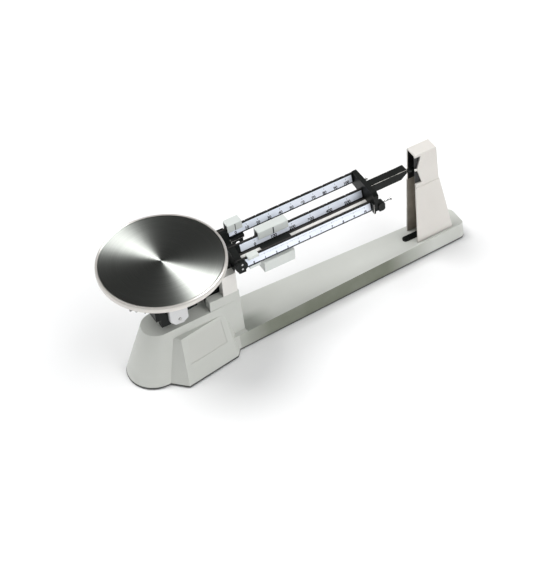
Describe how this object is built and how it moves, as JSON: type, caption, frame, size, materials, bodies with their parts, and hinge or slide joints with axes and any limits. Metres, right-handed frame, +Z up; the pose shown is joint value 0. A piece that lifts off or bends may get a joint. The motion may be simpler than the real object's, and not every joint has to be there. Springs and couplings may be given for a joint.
{
  "type": "triple beam balance",
  "caption": "Triple beam balance with a round pan, three bars with sliding poises, a tilting knife-edge beam and a pointer tower.",
  "frame": {"origin": "on the table, midway along the balance's overall length and on its long axis", "axes": "+X along the balance from the pan to the pointer tower, +Y to the back, +Z up"},
  "size_m": [0.4782, 0.1524, 0.1682],
  "materials": {
    "base_paint": "pale grey enamel on a light-alloy casting",
    "panel_sheet": "blank printed-panel stock, satin",
    "rubber": "soft black rubber",
    "steel": "bright turned steel",
    "knife_steel": "ground hardened steel",
    "agate": "polished agate",
    "cover_plastic": "pale grey moulded plastic",
    "tower_plastic": "off-white moulded plastic",
    "black_paint": "black enamel on a light-alloy casting",
    "bracket_steel": "black painted sheet steel",
    "magnet": "dark ferrite",
    "bar_metal": "black bar with bare machined edges",
    "strip": "pale blue-white number strip",
    "vane": "bare aluminium sheet",
    "brass": "turned brass",
    "pan_steel": "circular-brushed stainless steel",
    "carrier_paint": "pale grey enamel on a light-alloy casting",
    "poise_shell": "pale grey enamel on a light-alloy casting",
    "poise_core": "black painted steel weight",
    "poise_block": "pale grey enamel on a steel weight",
    "dark_plastic": "black moulded plastic",
    "ink": "black index line"
  },
  "bodies": {
    "base": {"base_casting": "base_paint", "label_panel": "panel_sheet", "rubber_feet": "rubber", "foot_screws": "steel", "pillar_cover_rear": "cover_plastic", "pillar_cover_front": "cover_plastic", "bearing_holders": "steel", "fulcrum_bearings": "agate", "tower_shell": "tower_plastic", "tower_cap": "tower_plastic", "zero_plates": "dark_plastic", "damper_bracket": "bracket_steel", "damping_magnets": "magnet", "magnet_yokes": "bracket_steel", "tongue_screw": "black_paint", "link_bracket": "steel", "link_pin": "steel"},
    "beam": {"beam_casting": "black_paint", "fulcrum_knife": "knife_steel", "load_knives": "knife_steel", "header_screws": "steel", "rear_bar": "bar_metal", "middle_bar": "bar_metal", "middle_rail": "cover_plastic", "front_bar": "bar_metal", "rear_strip": "strip", "middle_strip": "strip", "front_strip": "strip", "end_bracket": "black_paint", "weight_pegs": "steel", "pointer_arm": "black_paint", "pointer_tip": "black_paint", "damper_vane": "black_paint", "zero_screw": "steel"},
    "zero_nut": {"zero_insert": "brass"},
    "zero_wheel": {"zero_knob": "steel"},
    "carrier": {"pan_carrier": "carrier_paint", "load_bearings": "agate", "pan_spindle": "steel", "carrier_screws": "steel", "carrier_stem": "steel", "stem_pin": "steel"},
    "link": {"check_link": "vane"},
    "pan_plate": {"pan": "pan_steel", "pan_hub": "vane"},
    "rear_poise": {"rear_poise_cover": "poise_shell", "rear_poise_mark": "ink", "rear_poise_weight": "poise_core", "rear_poise_block": "poise_core", "rear_poise_pin": "steel"},
    "middle_poise": {"middle_poise_cover": "poise_shell", "middle_poise_mark": "ink", "middle_poise_core": "poise_core", "middle_poise_block": "poise_block", "middle_poise_pin": "steel"},
    "front_poise": {"front_poise": "poise_shell"}
  },
  "joints": [
    {"name": "beam_tilt", "type": "hinge", "parent": "base", "child": "beam", "pos_m": [-0.0899, 0, 0.1], "axis": [0, 1, 0], "range_deg": [-3, 3]},
    {"name": "carrier_pivot", "type": "hinge", "parent": "beam", "child": "carrier", "pos_m": [-0.1629, 0, 0.1], "axis": [0, 1, 0], "range_deg": [-3, 3]},
    {"name": "check_link_pivot", "type": "hinge", "parent": "base", "child": "link", "pos_m": [-0.0899, 0, 0.036], "axis": [0, 1, 0], "range_deg": [-3, 3]},
    {"name": "pan_lift", "type": "slide", "parent": "carrier", "child": "pan_plate", "axis": [0, 0, 1], "range_m": [0, 0.03]},
    {"name": "rear_poise_slide", "type": "slide", "parent": "beam", "child": "rear_poise", "axis": [1, 0, 0], "range_m": [0, 0.1512]},
    {"name": "middle_poise_slide", "type": "slide", "parent": "beam", "child": "middle_poise", "axis": [1, 0, 0], "range_m": [-0.02526, 0.10104]},
    {"name": "front_poise_slide", "type": "slide", "parent": "beam", "child": "front_poise", "axis": [1, 0, 0], "range_m": [0, 0.1512]},
    {"name": "zero_travel", "type": "slide", "parent": "beam", "child": "zero_nut", "axis": [1, 0, 0], "range_m": [-0.0024, 0.0024]},
    {"name": "zero_turn", "type": "hinge", "parent": "zero_nut", "child": "zero_wheel", "pos_m": [-0.2019, 0, 0.112], "axis": [1, 0, 0], "range_deg": [-1084, 1084]}
  ],
  "couplings": [
    {"joint": "carrier_pivot", "follows": "beam_tilt", "ratio": -1},
    {"joint": "check_link_pivot", "follows": "beam_tilt", "ratio": 1},
    {"joint": "zero_turn", "follows": "zero_travel", "rad_per_m": 7854}
  ]
}
